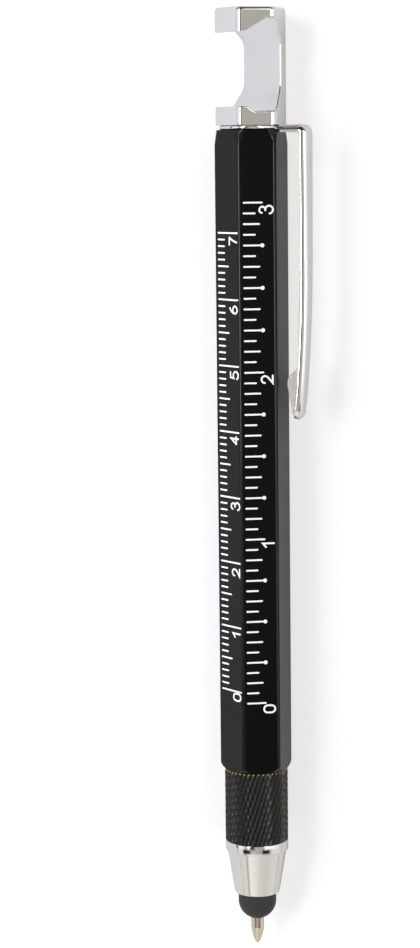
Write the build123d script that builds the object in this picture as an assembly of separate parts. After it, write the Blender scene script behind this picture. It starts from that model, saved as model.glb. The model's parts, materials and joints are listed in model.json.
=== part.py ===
from build123d import *
import os
from math import cos, radians, sqrt, tan

# A twist-action ballpoint pen with a hexagonal ruler barrel. Its screwed head is a bottle opener and
# phone stand that holds a double-ended driver bit. A soft stylus dome surrounds the writing point.
#
# Every piece is modelled upright on the pen's axis: z = 0 is the end of the writing ball, +z leads to
# the head, and -y is the side that faces up when the pen lies on a desk. The function lay_down then
# puts the pen on its rest flat, with +Y towards the head and +Z up. Sizes are in millimetres.

# Lengths along the pen, from the writing ball to the top of the head
point_reach = 4.2
dome_length = 4.09
cone_length = 6.96
band_length = 1.6
grip_length = 11.45
barrel_length = 98.2
collar_thickness = 0.68
head_length = 17.4

# Clearances
press_gap = 0.01
running_gap = 0.05
seat_gap = 0.02
twist_gap = 0.06
cut_overrun = 1.0

# Barrel
barrel_flats = 9.8
barrel_edge_radius = 0.6
barrel_bore_radius = 3.8
barrel_top_bore_radius = 3.6
barrel_top_radius = 5.2
barrel_top_taper = 2.8
barrel_foot_radius = 4.85
barrel_foot_taper = 1.6

# Printed ruler
ink_thickness = 0.04
inch = 25.4
inch_count = 3
inch_parts = 16
inch_zero_height = 11.22
inch_mark_width = 0.26
inch_mark_margin = 0.68
sixteenth_length = 1.92
eighth_length = 2.56
quarter_length = 3.06
whole_inch_length = 3.02
quarter_dot_radius = 0.3
centimetre = 10.0
centimetre_count = 7
centimetre_parts = 10
centimetre_zero_height = 12.9
centimetre_mark_width = 0.25
centimetre_mark_margin = 0.76
millimetre_length = 1.65
half_length = 2.53
whole_centimetre_length = 4.72
figure_stroke = 0.27
inch_figure_height = 1.72
inch_figure_width = 1.2
inch_figure_margin = 0.63
centimetre_figure_height = 1.7
centimetre_figure_width = 1.15
centimetre_figure_margin = 0.46
# Distance of each figure below its mark, as shares of the figure's width
inch_drop_shares = (0.29, 0.26, 0.39, 0.38)
centimetre_drop_shares = (0.26, 0.55, 0.77, 0.59, 0.55, 0.64, 0.78, 0.55)

# Head
head_flats = 9.65
head_turn_angle = 2.2
head_edge_radius = 1.2
head_top_round = 0.6
head_foot_radius = 4.75
head_foot_taper = 0.6
lower_lip_thickness = 2.76
mouth_height = 10.87
notch_floor_thickness = 1.93
notch_peak_drop = 1.29
notch_wall_beyond_axis = 2.28
notch_edge_round = 0.15
stud_pocket_depth = 1.25

# The notch's other corners, as shares of the head's half width across flats, measured from the axis
lip_corner_share = 0.818
peak_share = 0.05
floor_back_share = 0.042
floor_front_share = 0.557
lower_lip_share = 0.771
# Heights of the wall's two corners, as shares of the head's length
wall_top_share = 0.7143
wall_foot_share = 0.315
# Rounding of the notch's corners, as shares of the head's length
lip_round_share = 0.116
peak_round_share = 0.052
wall_top_round_share = 0.1455
wall_foot_round_share = 0.26
floor_back_round_share = 0.08
floor_front_round_share = 0.03
lower_lip_round_share = 0.045

# Threaded insert and head stud
insert_body_length = 9.2
insert_flange_radius = 4.0
insert_flange_thickness = 0.4
insert_flange_gap = 0.1
washer_radius = 3.9
washer_thickness = 0.3
stud_radius = 3.0
stud_length = 12.0
stud_spigot_radius = 2.9
stud_tip_chamfer = 0.35
stud_cap_thickness = 1.13
socket_flats = 4.06
socket_ring_wire = 0.28
socket_ring_from_mouth = 1.8
magnet_radius = 1.9
magnet_thickness = 1.0

# Driver bit
bit_flats = 4.0
bit_edge_radius = 0.15
bit_length = 28.0
bit_blade_length = 5.5
bit_neck_radius = 1.65
blade_tip_thickness = 0.6
cross_tip_radius = 0.55
cross_cone_length = 1.9
cross_flute_width = 0.9
cross_flute_from_axis = 0.45
bit_top_gap = 0.08

# Clip
clip_hole_gap = 0.06
collar_radius = 4.8
clip_reach = 9.4
clip_width = 3.8
clip_end_width = 3.0
clip_length = 44.2
clip_straight = 20.6
clip_curve_radius = 227.0
clip_bend_radius = 1.3
clip_sheet = 0.45
clip_flange = 1.1
clip_end_round = 0.3
clip_gusset_round = 0.6
clip_tab = 0.5
clip_kerf = 0.05
lobe_start = 7.95
lobe_corner = 6.27
lobe_gap = 1.0
lobe_round = 2.2
lobe_end_depth = 0.66

# Grip, nose and stylus dome
grip_radius = 4.89
grip_edge_round = 0.2
band_radius = 4.9
band_edge_round = 0.16
cone_top_radius = 4.62
cone_foot_radius = 3.46
cone_foot_round = 0.3
dome_radius = 2.95
dome_stem_radius = 2.5
dome_stem_length = 2.6
dome_shell = 1.3
guide_radius = 1.9
guide_tail = 1.7
guide_front_length = 3.7
guide_wide_radius = 1.35
point_gap = 0.06

# Front tube, bush and snap ring
tube_radius = 3.0
tube_bore_radius = 2.1
tube_spigot_radius = 2.5
tube_spigot_length = 3.0
# Height of the bush, as a share of the way from the barrel's lower end to the cam sleeve
bush_share = 0.3276
ring_thickness = 0.5
ring_radius = 3.5
ring_groove_radius = 2.72
ring_mouth_angle = 60.0

# Twist mechanism
twist_angle = 180.0
point_travel = 5.0
cam_radius = 3.1
cam_below_carrier = 7.28
cam_above_slot = 3.22
housing_from_cam_end = 3.0
housing_above_cam = 2.0
plug_gap = 0.2
plug_length = 3.0
bit_chamber_gap = 13.28
carrier_above_lug = 5.0
carrier_socket = 7.0
lug_radius = 0.5
lug_gap = 0.06
lug_reach = 3.45
lug_from_socket = 4.0
cam_steps = 36

# Refill
refill_radius = 1.175
refill_wall = 0.2
point_radius = 1.03
point_cylinder = 1.54
point_taper_radius = 7.9
point_neck_radius = 0.46
point_shoulder = 10.0
point_spigot_length = 2.0
ink_channel_radius = 0.25
ink_free_length = 9.0
ball_radius = 0.4
ball_gap = 0.01
ball_exposed = 0.25

# Places along the pen
dome_end = point_reach
cone_end = dome_end + dome_length
band_end = cone_end + cone_length
grip_end = band_end + band_length
barrel_end = grip_end + grip_length
barrel_top = barrel_end + barrel_length
collar_top = barrel_top + collar_thickness
head_top = collar_top + head_length
barrel_middle = barrel_end + barrel_length / 2

# Places of the inner pieces, from the head down to the refill and the front tube
apothem = barrel_flats / 2
insert_end = barrel_top - insert_body_length
washer_end = collar_top + insert_flange_thickness + seat_gap
recess_top = washer_end + washer_thickness + running_gap
stud_end = collar_top - stud_length
stud_top = collar_top + stud_pocket_depth - seat_gap
magnet_top = stud_top - stud_cap_thickness
socket_top = magnet_top - magnet_thickness
bit_top = socket_top - bit_top_gap
bit_end = bit_top - bit_length
plug_end = bit_end - bit_chamber_gap - plug_length
housing_top = plug_end - plug_gap
cam_top = housing_top - housing_above_cam
lug_height = cam_top - cam_above_slot - lug_radius - point_travel
refill_top = lug_height - lug_from_socket
carrier_end = refill_top - carrier_socket
carrier_top = lug_height + carrier_above_lug
cam_end = carrier_end - cam_below_carrier
housing_end = cam_end + housing_from_cam_end
tube_top = cam_end + tube_spigot_length
tube_end = cone_end + dome_stem_length + guide_tail
bush_top = barrel_end + (cam_end - barrel_end) * bush_share

# Directions that flats of the pen face, in degrees from the upper flat towards +X
upper_flat_angle = 0.0
clip_flat_angle = 60.0
mouth_flat_angle = -60.0


def facing(shape, flat_angle):
    """Turn a shape that was built facing +x to face the flat at this angle."""
    return Rot(0, 0, flat_angle - 90) * shape


def lay_down(shape):
    """Lay an upright shape on the pen's rest flat, the barrel's middle over the origin."""
    return Pos(0, -barrel_middle, apothem) * (Rot(-90, 0, 0) * shape)


def upright(outline):
    """Stand an outline of radius and height up in the plane through the axis."""
    return Plane.XZ * outline


def turned(*points):
    """Turn a closed outline, given as corners of radius and height, about the pen's axis."""
    outline = make_face(Polyline(*points, close=True))
    return revolve(upright(outline), Axis.Z)


def rod(radius, low, high):
    """A round bar on the axis, from one height to another."""
    return Pos(0, 0, low) * extrude(Circle(radius), high - low)


def tube(outer, inner, low, high):
    """A round tube on the axis, from one height to another."""
    return Pos(0, 0, low) * extrude(Circle(outer) - Circle(inner), high - low)


def hex_bar(flats, edge_radius, low, high):
    """A hexagonal bar with rounded long edges, two flats square to y."""
    outline = RegularPolygon(flats / 2, 6, major_radius=False)
    outline = fillet(outline.vertices(), edge_radius)
    return Pos(0, 0, low) * extrude(outline, high - low)


def block(low_x, high_x, low_y, high_y, low_z, high_z):
    """A box between two corners."""
    size = Box(high_x - low_x, high_y - low_y, high_z - low_z, align=(Align.MIN,) * 3)
    return Pos(low_x, low_y, low_z) * size


def arc_between(start, end, radius, left):
    """The shorter arc of this radius from start to end, bulging left or right of its run."""
    middle_x = (start[0] + end[0]) / 2
    middle_y = (start[1] + end[1]) / 2
    run_x = end[0] - start[0]
    run_y = end[1] - start[1]
    chord = sqrt(run_x**2 + run_y**2)
    rise = radius - sqrt(radius**2 - (chord / 2) ** 2)
    side = 1 if left else -1
    crown = (middle_x - side * rise * run_y / chord, middle_y + side * rise * run_x / chord)
    return ThreePointArc(start, crown, end)


def tangent_radius(run, rise):
    """Radius of the arc that leaves a line along run and has moved aside by rise at its end."""
    return (run**2 + rise**2) / (2 * rise)


# Barrel and its fixed pieces


def rounded_foot(radius, taper, low, high):
    """The turned shape that rounds off a hexagonal bar's six edges at its foot."""
    corner = apothem / cos(radians(30))
    wide = corner + cut_overrun
    start = (radius, low)
    stop = (corner, low + taper)
    edges = [
        Line((0, low), start),
        arc_between(start, stop, tangent_radius(taper, corner - radius), False),
        Polyline(stop, (wide, stop[1]), (wide, high), (0, high), (0, low)),
    ]
    return revolve(upright(make_face(edges)), Axis.Z)


def rounded_top(radius, taper, low, high):
    """The turned shape that rounds off a hexagonal bar's six edges at its top."""
    corner = apothem / cos(radians(30))
    wide = corner + cut_overrun
    start = (corner, high - taper)
    stop = (radius, high)
    edges = [
        Polyline((0, high), (0, low), (wide, low), (wide, start[1]), start),
        arc_between(start, stop, tangent_radius(taper, corner - radius), False),
        Line(stop, (0, high)),
    ]
    return revolve(upright(make_face(edges)), Axis.Z)


def make_barrel():
    """Hexagonal aluminium tube, its upper bore narrower to hold the insert."""
    body = hex_bar(barrel_flats, barrel_edge_radius, barrel_end, barrel_top)
    body &= rounded_foot(barrel_foot_radius, barrel_foot_taper, barrel_end, barrel_top)
    body &= rounded_top(barrel_top_radius, barrel_top_taper, barrel_end, barrel_top)
    body -= rod(barrel_bore_radius, barrel_end - cut_overrun, insert_end)
    body -= rod(barrel_top_bore_radius, insert_end - cut_overrun, barrel_top + cut_overrun)
    return body


def make_lower_bush():
    """Brass bush in which the front tube turns."""
    outer = barrel_bore_radius - press_gap
    return tube(outer, tube_radius + running_gap, barrel_end, bush_top)


def slot_cutter(half_width, low, high, reach):
    """A radial slot with round ends, square to +x, between two heights."""
    middle = block(0, reach, -half_width, half_width, low, high)
    ends = [Pos(0, 0, z) * (Rot(0, 90, 0) * rod(half_width, 0, reach)) for z in (low, high)]
    return middle + ends


def make_housing():
    """Tube fixed in the barrel, with two straight slots that keep the carrier from turning."""
    outer = barrel_bore_radius - press_gap
    body = tube(outer, cam_radius + running_gap, housing_end, housing_top)
    slot = slot_cutter(lug_radius + lug_gap, lug_height, lug_height + point_travel, outer + cut_overrun)
    for side in (0, 180):
        body -= Rot(0, 0, side) * slot
    return body


def make_plug():
    """Plug between the twist mechanism and the driver bit's chamber."""
    return rod(barrel_bore_radius - press_gap, plug_end, plug_end + plug_length)


def make_insert():
    """Flanged, threaded brass insert that clamps the clip's collar on the barrel."""
    outer = barrel_top_bore_radius - press_gap
    body = rod(outer, insert_end, collar_top)
    body += rod(insert_flange_radius, collar_top, collar_top + insert_flange_thickness)
    body -= rod(stud_radius + running_gap, insert_end - cut_overrun, head_top)
    return body


# Clip


def make_clip_collar():
    """Round plate under the head, with the root of the clip's tab."""
    plate = rod(collar_radius, barrel_top, collar_top)
    tab = block(0, apothem + clip_tab, -clip_width / 2, clip_width / 2, barrel_top, collar_top)
    plate += facing(tab, clip_flat_angle)
    plate -= rod(barrel_top_bore_radius + clip_hole_gap, barrel_end, head_top)
    return plate


def clip_face(height):
    """Distance of the clip's outer face from the axis, at a height."""
    below = max(0, collar_top - clip_straight - height)
    return clip_reach - (clip_curve_radius - sqrt(clip_curve_radius**2 - below**2))


def clip_web(inset):
    """Edges of the clip's outer face, from the tab's root to the arm's end, moved in by inset."""
    root = apothem + clip_tab + clip_kerf
    arm_end = collar_top - clip_length
    bend_top = (clip_reach - clip_bend_radius, collar_top - inset)
    bend_foot = (clip_reach - inset, collar_top - clip_bend_radius)
    straight_foot = (clip_reach - inset, collar_top - clip_straight)
    outer_end = (clip_face(arm_end) - inset, arm_end + inset)
    return [
        Line((root, collar_top - inset), bend_top),
        arc_between(bend_top, bend_foot, clip_bend_radius - inset, True),
        Line(bend_foot, straight_foot),
        arc_between(straight_foot, outer_end, clip_curve_radius - inset, True),
    ]


def clip_side():
    """Side outline of the clip's arm, with the lobe near its end."""
    web = clip_web(0)
    root = web[0] @ 0
    outer_end = web[-1] @ 1
    arm_end = outer_end.Y
    rim_top = collar_top - clip_flange
    lobe_peak = (apothem + lobe_gap, arm_end + lobe_corner)
    lobe_foot = (clip_face(arm_end + lobe_start) - clip_flange, arm_end + lobe_start)
    rim = FilletPolyline(
        outer_end,
        (outer_end.X - lobe_end_depth, arm_end),
        lobe_peak,
        lobe_foot,
        (clip_reach - clip_flange, collar_top - clip_straight),
        (clip_reach - clip_flange, rim_top),
        (root.X, rim_top),
        (root.X, root.Y),
        radius=[clip_end_round, lobe_round, 0, 0, clip_gusset_round, 0],
    )
    return make_face(web + [rim])


def clip_hollow():
    """Side outline of the channel between the clip's flanges, open towards the barrel."""
    web = clip_web(clip_sheet)
    root = web[0] @ 0
    inner_end = web[-1] @ 1
    back = Polyline((inner_end.X, inner_end.Y), (root.X, inner_end.Y), (root.X, root.Y))
    return make_face(web + [back])


def clip_plan(margin):
    """Block with the arm's tapering width, less a margin on each side."""
    top_half = clip_width / 2 - margin
    end_half = clip_end_width / 2 - margin
    high = collar_top
    low = collar_top - clip_length
    outline = Polyline((-top_half, high), (-end_half, low), (end_half, low), (top_half, high), close=True)
    face = Plane.YZ * make_face(outline)
    return extrude(face, clip_reach + cut_overrun)


def make_clip_arm():
    """Sprung channel of the clip, with two lobes near its end."""
    arm = extrude(upright(clip_side()), clip_width, both=True) & clip_plan(0)
    arm -= extrude(upright(clip_hollow()), clip_width, both=True) & clip_plan(clip_sheet)
    return facing(arm, clip_flat_angle)


# Head, stud, magnet and driver bit


def notch_outline():
    """Outline of the opener's notch, as depth towards its mouth and height."""
    reach = head_flats / 2
    outside = reach + cut_overrun
    lip = collar_top + lower_lip_thickness + mouth_height
    lower_lip = collar_top + lower_lip_thickness
    floor = collar_top + notch_floor_thickness
    wall = -notch_wall_beyond_axis
    corners = [
        (outside, lower_lip, 0),
        (outside, lip, 0),
        (reach * lip_corner_share, lip, head_length * lip_round_share),
        (reach * peak_share, head_top - notch_peak_drop, head_length * peak_round_share),
        (wall, collar_top + head_length * wall_top_share, head_length * wall_top_round_share),
        (wall, collar_top + head_length * wall_foot_share, head_length * wall_foot_round_share),
        (-reach * floor_back_share, floor, head_length * floor_back_round_share),
        (reach * floor_front_share, floor, head_length * floor_front_round_share),
        (reach * lower_lip_share, lower_lip, head_length * lower_lip_round_share),
    ]
    points = [(depth, height) for depth, height, _ in corners]
    radii = [radius for _, _, radius in corners]
    return make_face(FilletPolyline(*points, radius=radii, close=True))


def notch_rims(body):
    """Edges where a notch that opens towards +x breaks out of the head's sides."""
    low = collar_top + head_foot_taper + notch_edge_round
    high = head_top - head_top_round - notch_edge_round
    edges = body.edges().filter_by_position(Axis.Z, low, high)
    edges = edges.filter_by(Axis.Z, reverse=True)
    reach = head_flats / 2
    inner = edges.filter_by(Axis.Y).filter_by_position(Axis.X, -reach, reach - notch_edge_round)
    return [edge for edge in edges if edge not in inner]


def make_head():
    """Die-cast hook: a hexagonal block with the opener's notch cut in from one flat."""
    body = Rot(0, 0, 30) * hex_bar(head_flats, head_edge_radius, collar_top, head_top)
    body = fillet(body.faces().sort_by(Axis.Z)[-1].edges(), head_top_round)
    body &= rounded_foot(head_foot_radius, head_foot_taper, collar_top, head_top)
    body -= extrude(upright(notch_outline()), head_flats, both=True)
    body = fillet(notch_rims(body), notch_edge_round)
    body -= rod(insert_flange_radius + insert_flange_gap, barrel_top, recess_top)
    body -= rod(stud_spigot_radius + press_gap, barrel_top, collar_top + stud_pocket_depth)
    return facing(body, mouth_flat_angle + head_turn_angle)


def make_stud():
    """Threaded steel stud pressed into the head, with a hexagonal socket for the bit."""
    shoulder = recess_top - seat_gap
    tip_radius = stud_radius - stud_tip_chamfer
    body = turned(
        (0, stud_end),
        (tip_radius, stud_end),
        (stud_radius, stud_end + stud_tip_chamfer),
        (stud_radius, shoulder),
        (stud_spigot_radius, shoulder),
        (stud_spigot_radius, stud_top),
        (0, stud_top),
    )
    body -= hex_bar(socket_flats, bit_edge_radius, stud_end - cut_overrun, socket_top)
    body -= rod(magnet_radius + press_gap, socket_top - cut_overrun, magnet_top + seat_gap)
    groove_height = stud_end + socket_ring_from_mouth
    groove_half = socket_ring_wire / 2 + seat_gap
    body -= rod(ring_outer() + seat_gap, groove_height - groove_half, groove_height + groove_half)
    return body


def make_washer():
    """Loose washer on the insert's flange, which stays on the stud when the head comes off."""
    return tube(washer_radius, stud_radius + running_gap, washer_end, washer_end + washer_thickness)


def ring_outer():
    """Outer radius of the wire ring that grips the bit's six edges."""
    return bit_flats / 2 / cos(radians(30)) + socket_ring_wire


def make_socket_ring():
    """Round-wire ring in the socket's groove."""
    wire = socket_ring_wire / 2
    loop = Torus(ring_outer() - wire, wire)
    return Pos(0, 0, stud_end + socket_ring_from_mouth) * loop


def make_magnet():
    """Disc magnet at the end of the bit socket."""
    return rod(magnet_radius, socket_top, magnet_top)


def make_bit():
    """Double-ended driver bit: a flat blade in the socket, a cross at the other end."""
    hex_low = bit_end + bit_blade_length
    hex_high = bit_top - bit_blade_length
    neck = rod(bit_neck_radius, hex_high, bit_top)
    wedge = Polyline(
        (-bit_neck_radius, hex_high),
        (bit_neck_radius, hex_high),
        (blade_tip_thickness / 2, bit_top),
        (-blade_tip_thickness / 2, bit_top),
        close=True,
    )
    blade = neck & extrude(upright(make_face(wedge)), bit_flats, both=True)
    cross = turned(
        (0, bit_end),
        (cross_tip_radius, bit_end),
        (bit_neck_radius, bit_end + cross_cone_length),
        (bit_neck_radius, hex_low),
        (0, hex_low),
    )
    flute = block(
        cross_flute_from_axis,
        bit_flats,
        cross_flute_from_axis,
        bit_flats,
        bit_end - cut_overrun,
        bit_end + bit_blade_length - cross_flute_width,
    )
    for quarter in range(4):
        cross -= Rot(0, 0, 90 * quarter) * flute
    return hex_bar(bit_flats, bit_edge_radius, hex_low, hex_high) + blade + cross


# Grip, nose and stylus


def make_grip():
    """Grip sleeve on the front tube, under its knurl."""
    high = barrel_end - twist_gap
    body = tube(grip_radius, tube_radius + press_gap, grip_end, high)
    rims = body.edges().filter_by(GeomType.CIRCLE).group_by(SortBy.RADIUS)[-1]
    return fillet(rims, grip_edge_round)


def make_nose():
    """Turned nose: a wide band, then a cone that holds the stylus dome."""
    outline = turned(
        (0, cone_end),
        (cone_foot_radius, cone_end),
        (cone_top_radius, band_end),
        (band_radius, band_end),
        (band_radius, grip_end),
        (0, grip_end),
    )
    circles = outline.edges().filter_by(GeomType.CIRCLE).sort_by(SortBy.RADIUS)
    outline = fillet(circles[-2:], band_edge_round)
    foot = outline.edges().filter_by(GeomType.CIRCLE).sort_by(Axis.Z)[0]
    outline = fillet(foot, cone_foot_round)
    stem_top = cone_end + dome_stem_length
    outline -= rod(dome_stem_radius + seat_gap, cone_end - cut_overrun, stem_top)
    outline -= rod(guide_radius + press_gap, cone_end, tube_end)
    outline -= rod(tube_radius + press_gap, tube_end, grip_end + cut_overrun)
    return outline


def make_dome():
    """Soft rubber dome with a stem in the nose and a hole for the point."""
    hole = point_radius + point_gap + seat_gap
    centre = dome_end + sqrt(dome_radius**2 - hole**2)
    stem_top = cone_end + dome_stem_length - seat_gap
    shell_top = dome_end + dome_shell
    start = (hole, dome_end)
    crown = (dome_radius, centre)
    inner = guide_radius + seat_gap
    edges = [
        arc_between(start, crown, dome_radius, False),
        Polyline(
            crown,
            (dome_radius, cone_end),
            (dome_stem_radius, cone_end),
            (dome_stem_radius, stem_top),
            (inner, stem_top),
            (inner, shell_top),
            (hole, shell_top),
            start,
        ),
    ]
    return revolve(upright(make_face(edges)), Axis.Z)


def make_guide():
    """Brass tube under the dome, bored to steady the point."""
    low = dome_end + dome_shell + seat_gap
    body = rod(guide_radius, low, tube_end)
    body -= rod(point_radius + point_gap, low - cut_overrun, tube_end + cut_overrun)
    body -= rod(guide_wide_radius, low + guide_front_length, tube_end + cut_overrun)
    return body


def make_front_tube():
    """Brass tube that carries nose and grip and turns in the bush."""
    groove_low = bush_top + running_gap
    body = tube(tube_radius, tube_bore_radius, tube_end, cam_end)
    body += tube(tube_spigot_radius, tube_bore_radius, cam_end, tube_top)
    groove = tube(
        tube_radius + cut_overrun,
        ring_groove_radius,
        groove_low,
        groove_low + ring_thickness + seat_gap,
    )
    return body - groove


def make_retaining_ring():
    """Open snap ring in the front tube's groove."""
    low = bush_top + running_gap + seat_gap / 2
    body = tube(ring_radius, ring_groove_radius + press_gap, low, low + ring_thickness)
    reach = ring_radius + cut_overrun
    half_mouth = reach * tan(radians(ring_mouth_angle / 2))
    mouth = Polyline((0, 0), (reach, half_mouth), (reach, -half_mouth), close=True)
    return body - Pos(0, 0, low) * extrude(make_face(mouth), ring_thickness)


# Twist mechanism and refill


def make_cam():
    """Sleeve with two helical slots that drive the carrier as it turns."""
    body = tube(cam_radius, tube_spigot_radius + press_gap, cam_end, cam_top)
    cutter = Rot(0, 90, 0) * rod(lug_radius + lug_gap, tube_bore_radius, cam_radius + cut_overrun)
    for side in (0, 180):
        for step in range(cam_steps + 1):
            share = step / cam_steps
            climb = Pos(0, 0, lug_height + point_travel * share)
            body -= climb * (Rot(0, 0, side - twist_angle * share) * cutter)
    return body


def make_carrier():
    """Slider that holds the refill's tail, with two lugs in the slots."""
    radius = tube_spigot_radius + press_gap - running_gap
    body = rod(radius, carrier_end, carrier_top)
    body -= rod(refill_radius + press_gap, carrier_end - cut_overrun, refill_top)
    lug = Rot(0, 90, 0) * rod(lug_radius, radius / 2, lug_reach)
    for side in (0, 180):
        body += Pos(0, 0, lug_height) * (Rot(0, 0, side) * lug)
    return body


def make_refill_tube():
    """Thin brass tube that holds the ink."""
    return tube(refill_radius, refill_radius - refill_wall, point_shoulder, refill_top)


def make_ink():
    """Column of ink in the refill."""
    low = point_shoulder + point_spigot_length
    return rod(refill_radius - refill_wall - press_gap, low, refill_top - ink_free_length)


def make_point():
    """Plated brass point with a rounded taper, the ball's seat and its ink channel."""
    spigot = refill_radius - refill_wall - press_gap
    neck = (point_neck_radius, ball_exposed)
    taper_top = (point_radius, dome_end - point_cylinder)
    edges = [
        arc_between(neck, taper_top, point_taper_radius, False),
        Polyline(
            taper_top,
            (point_radius, point_shoulder),
            (spigot, point_shoulder),
            (spigot, point_shoulder + point_spigot_length),
            (0, point_shoulder + point_spigot_length),
            (0, ball_exposed),
            neck,
        ),
    ]
    body = revolve(upright(make_face(edges)), Axis.Z)
    body -= Pos(0, 0, ball_radius) * Sphere(ball_radius + ball_gap)
    body -= rod(ink_channel_radius, ball_radius, point_shoulder + point_spigot_length + cut_overrun)
    return body


def make_ball():
    """Writing ball."""
    return Pos(0, 0, ball_radius) * Sphere(ball_radius)


# Printed ruler

# Strokes of the figures 0 to 7, as shares of a figure's width and height. Each stroke is a run of
# points, and one of three points that is marked round is an arc.
STRAIGHT = "straight"
ROUND = "round"
figure_shares = {
    0: [
        (ROUND, [(0.03, 0.66), (0.5, 1.0), (0.97, 0.66)]),
        (STRAIGHT, [(0.97, 0.66), (0.97, 0.34)]),
        (ROUND, [(0.97, 0.34), (0.5, 0.0), (0.03, 0.34)]),
        (STRAIGHT, [(0.03, 0.34), (0.03, 0.66)]),
    ],
    1: [(STRAIGHT, [(0.25, 0.72), (0.72, 1.0), (0.72, 0.0)])],
    2: [
        (ROUND, [(0.06, 0.71), (0.5, 1.0), (0.93, 0.7)]),
        (ROUND, [(0.93, 0.7), (0.86, 0.53), (0.7, 0.39)]),
        (STRAIGHT, [(0.7, 0.39), (0.04, 0.0), (0.98, 0.0)]),
    ],
    3: [
        (ROUND, [(0.1, 0.86), (0.86, 0.78), (0.42, 0.55)]),
        (ROUND, [(0.42, 0.55), (0.97, 0.27), (0.02, 0.17)]),
    ],
    4: [
        (STRAIGHT, [(0.74, 0.0), (0.74, 1.0), (0.02, 0.3)]),
        (STRAIGHT, [(0.02, 0.3), (1.0, 0.3)]),
    ],
    5: [
        (STRAIGHT, [(0.88, 1.0), (0.2, 1.0), (0.1, 0.5)]),
        (ROUND, [(0.1, 0.5), (0.97, 0.34), (0.02, 0.13)]),
    ],
    6: [
        (ROUND, [(0.72, 1.0), (0.2, 0.68), (0.03, 0.3)]),
        (ROUND, [(0.03, 0.3), (0.5, 0.0), (0.97, 0.3)]),
        (ROUND, [(0.97, 0.3), (0.5, 0.6), (0.03, 0.3)]),
    ],
    7: [
        (STRAIGHT, [(0.02, 1.0), (0.98, 1.0)]),
        (ROUND, [(0.98, 1.0), (0.62, 0.55), (0.36, 0.0)]),
    ],
}


def figure(number, width, height, stroke):
    """A printed figure, its lower left corner at the origin."""
    sketch = Sketch()
    for kind, shares in figure_shares[number]:
        points = [(x * width, y * height) for x, y in shares]
        line = Polyline(*points) if kind == STRAIGHT else ThreePointArc(*points)
        sketch += trace(line, stroke)
        for end in (points[0], points[-1]):
            sketch += Pos(*end) * Circle(stroke / 2)
    return sketch


def printed(sketch, flat_angle):
    """Lay ink on a flat: the sketch's x runs across the flat, away from the pen's left, y to the head."""
    ink = Pos(apothem, 0, 0) * extrude(Plane.YZ * sketch, ink_thickness)
    return facing(ink, flat_angle)


def mark(width, length, margin, height, dot_radius=0):
    """One ruler mark that starts at the flat's left edge plus a margin."""
    start = margin - flat_half_width()
    line = Pos(start + length / 2, height) * SlotOverall(length, width)
    if dot_radius:
        line += Pos(start + length - dot_radius / 2, height) * Circle(dot_radius)
    return line


def flat_half_width():
    """Half the width of one of the barrel's flats."""
    return apothem * tan(radians(30))


def placed_figure(number, width, height, margin, mark_height, drop_shares):
    """A figure turned to read towards the head, on the writing side of its mark."""
    right = flat_half_width() - margin
    drop = width * drop_shares[number]
    shape = Rot(0, 0, 90) * figure(number, width, height, figure_stroke)
    return Pos(right, mark_height - drop - width) * shape


def make_inch_scale():
    """Marks and figures of the inch scale."""
    ink = Sketch()
    for step in range(inch_count * inch_parts + 1):
        height = barrel_end + inch_zero_height + inch * step / inch_parts
        length = sixteenth_length
        dot = 0
        if step % (inch_parts // 8) == 0:
            length = eighth_length
        if step % (inch_parts // 4) == 0:
            length = quarter_length
            dot = quarter_dot_radius
        if step % inch_parts == 0:
            length = whole_inch_length
            dot = 0
        ink += mark(inch_mark_width, length, inch_mark_margin, height, dot)
    for number in range(inch_count + 1):
        height = barrel_end + inch_zero_height + inch * number
        ink += placed_figure(
            number, inch_figure_width, inch_figure_height, inch_figure_margin, height, inch_drop_shares
        )
    return printed(ink, upper_flat_angle)


def make_centimetre_scale():
    """Marks and figures of the centimetre scale."""
    ink = Sketch()
    for step in range(centimetre_count * centimetre_parts + 1):
        height = barrel_end + centimetre_zero_height + centimetre * step / centimetre_parts
        length = millimetre_length
        if step % (centimetre_parts // 2) == 0:
            length = half_length
        if step % centimetre_parts == 0:
            length = whole_centimetre_length
        ink += mark(centimetre_mark_width, length, centimetre_mark_margin, height)
    for number in range(centimetre_count + 1):
        height = barrel_end + centimetre_zero_height + centimetre * number
        ink += placed_figure(
            number,
            centimetre_figure_width,
            centimetre_figure_height,
            centimetre_figure_margin,
            height,
            centimetre_drop_shares,
        )
    return printed(ink, mouth_flat_angle)


PIECES = {
    "barrel": make_barrel,
    "inch_scale": make_inch_scale,
    "centimetre_scale": make_centimetre_scale,
    "lower_bush": make_lower_bush,
    "mechanism_housing": make_housing,
    "chamber_plug": make_plug,
    "top_insert": make_insert,
    "clip_collar": make_clip_collar,
    "clip_arm": make_clip_arm,
    "opener_head": make_head,
    "head_stud": make_stud,
    "head_washer": make_washer,
    "socket_ring": make_socket_ring,
    "bit_magnet": make_magnet,
    "driver_bit": make_bit,
    "grip_sleeve": make_grip,
    "nose_cone": make_nose,
    "stylus_tip": make_dome,
    "point_guide": make_guide,
    "front_tube": make_front_tube,
    "retaining_ring": make_retaining_ring,
    "cam_sleeve": make_cam,
    "refill_carrier": make_carrier,
    "refill_tube": make_refill_tube,
    "ink": make_ink,
    "refill_point": make_point,
    "writing_ball": make_ball,
}

os.makedirs("parts", exist_ok=True)
for name, make in PIECES.items():
    piece = lay_down(make())
    export_step(piece, f"parts/{name}.step")
    print(name, len(piece.solids()), round(piece.volume, 2))
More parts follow.
